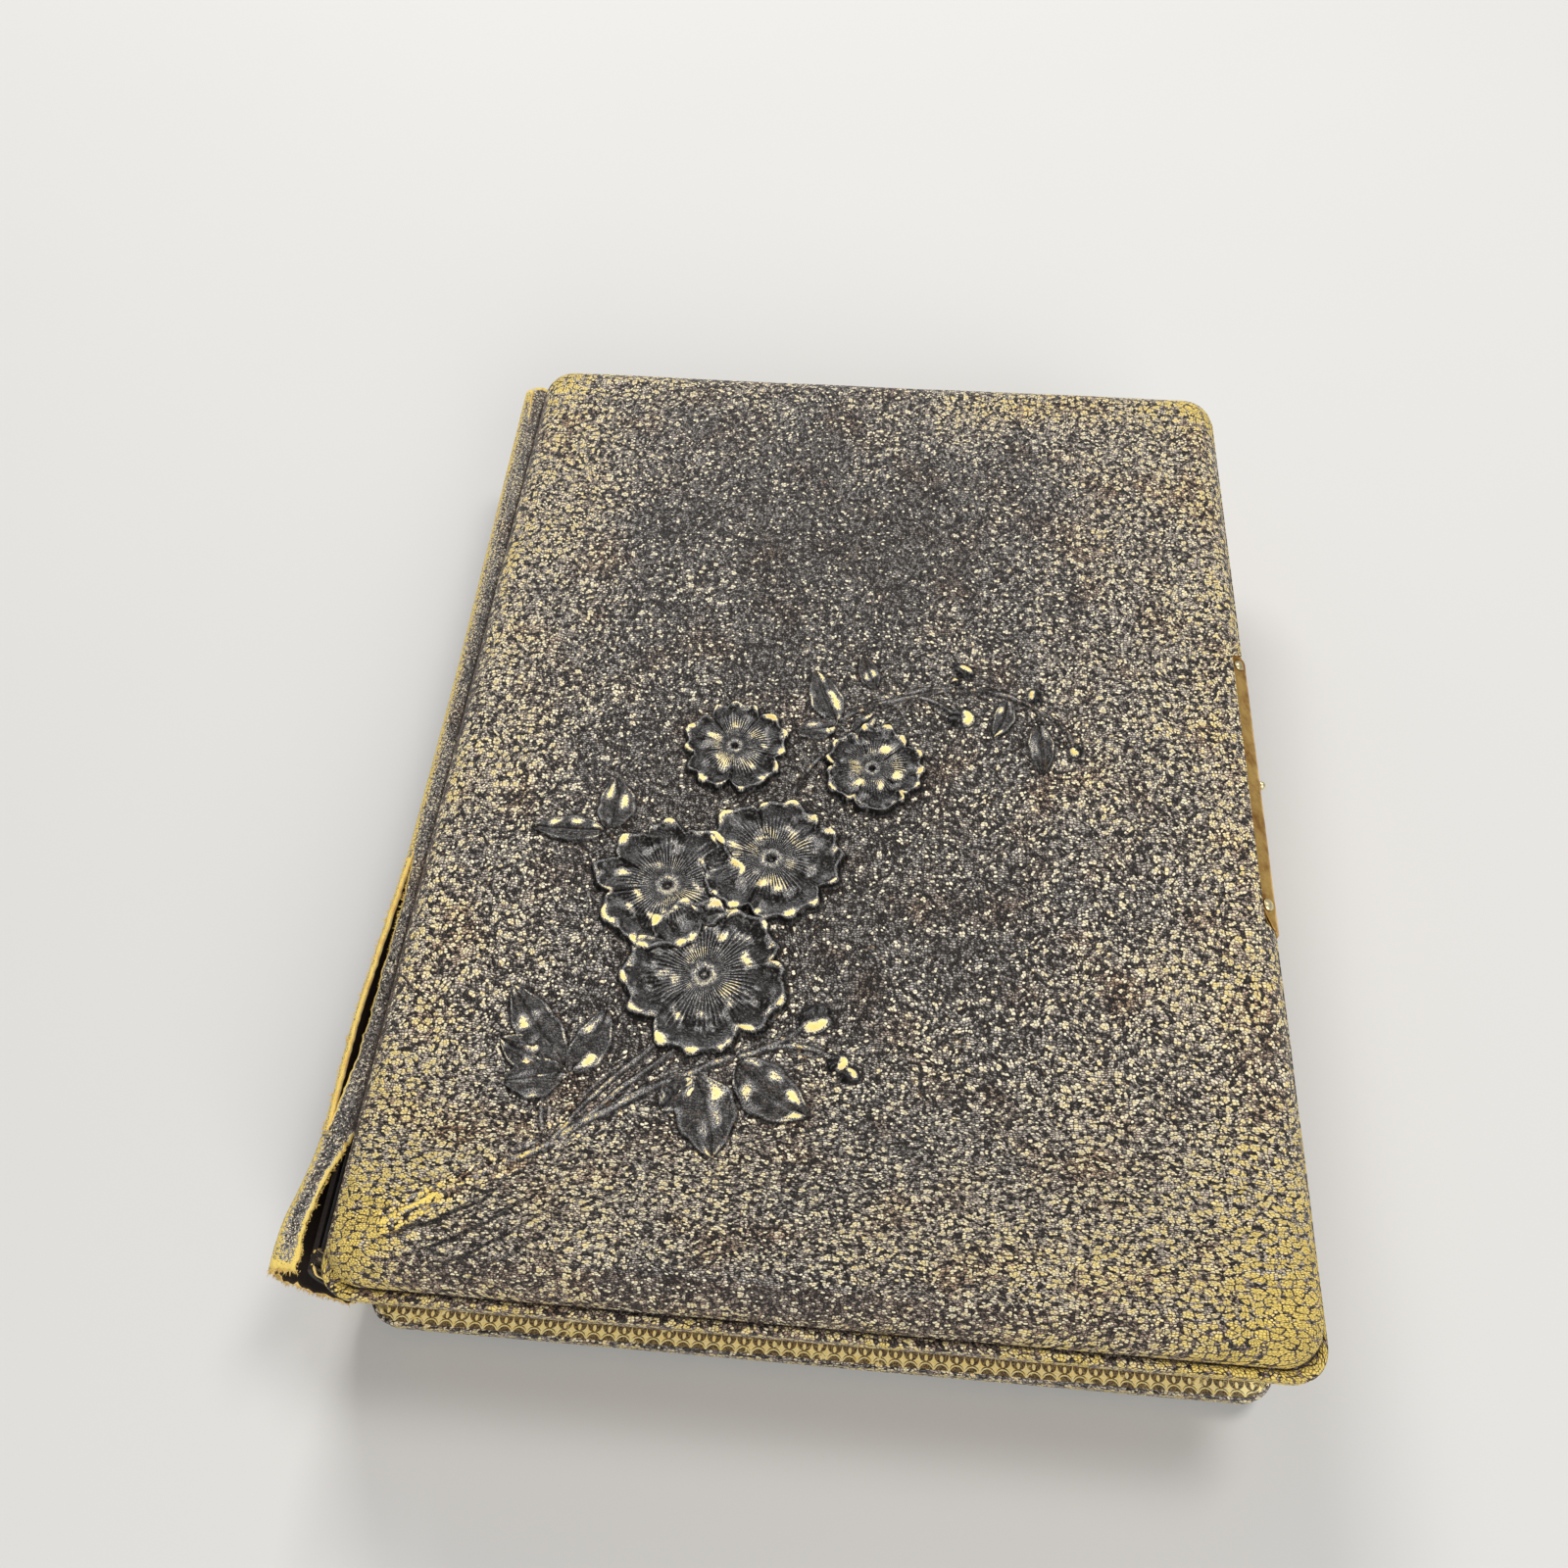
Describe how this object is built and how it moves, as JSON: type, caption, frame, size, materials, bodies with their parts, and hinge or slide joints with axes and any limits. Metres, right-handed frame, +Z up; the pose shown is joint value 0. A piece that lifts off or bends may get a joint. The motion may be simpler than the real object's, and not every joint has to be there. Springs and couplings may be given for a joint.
{
  "type": "photo album",
  "caption": "Closed photo album with padded leather covers, an embossed spray of blossoms, worn gold edges, a torn front joint and a brass clasp on its fore edge.",
  "frame": {"origin": "middle of the back cover's resting face, under the centre of the covers' outline", "axes": "+X to the fore edge, +Y to the head, +Z up through the front cover"},
  "size_m": [0.2233, 0.271, 0.0537],
  "materials": {
    "board": "grey-brown pasteboard",
    "wadding": "cotton wadding",
    "cover_leather": "near-black pebbled leather, worn to golden yellow on raised places and edges",
    "lining_paper": "aged cream paper",
    "spine_card": "brown card",
    "card_leaves": "aged card with dull gilt edges",
    "backing": "open mull stiff with old glue",
    "hinge_cloth": "dark plain-weave cloth",
    "clasp_brass": "aged satin brass with bright rubbed rims"
  },
  "bodies": {
    "back_cover": {"back_leather": "cover_leather", "back_padding": "wadding", "back_board": "board", "back_lining": "lining_paper", "clasp_back_plate": "clasp_brass", "clasp_back_pins": "clasp_brass", "clasp_catch": "clasp_brass"},
    "book_block": {"leaves": "card_leaves", "block_backing": "backing", "front_hinge_cloth": "hinge_cloth", "back_hinge_cloth": "hinge_cloth", "spine_leather": "cover_leather", "spine_liner": "spine_card"},
    "front_cover": {"front_leather": "cover_leather", "front_padding": "wadding", "front_board": "board", "front_lining": "lining_paper", "clasp_front_plate": "clasp_brass", "clasp_front_pins": "clasp_brass", "clasp_knob": "clasp_brass", "clasp_hinge_pin": "clasp_brass"},
    "hasp": {"clasp_hasp": "clasp_brass"}
  },
  "joints": [
    {"name": "back_joint", "type": "hinge", "parent": "back_cover", "child": "book_block", "pos_m": [-0.107, 0, 0.004], "axis": [0, 1, 0], "range_deg": [-85, 0]},
    {"name": "front_joint", "type": "hinge", "parent": "book_block", "child": "front_cover", "pos_m": [-0.107, 0, 0.045], "axis": [0, -1, 0], "range_deg": [0, 175]},
    {"name": "hasp_swing", "type": "hinge", "parent": "front_cover", "child": "hasp", "pos_m": [0.1026, 0, 0.0364], "axis": [0, -1, 0], "range_deg": [0, 100]}
  ]
}
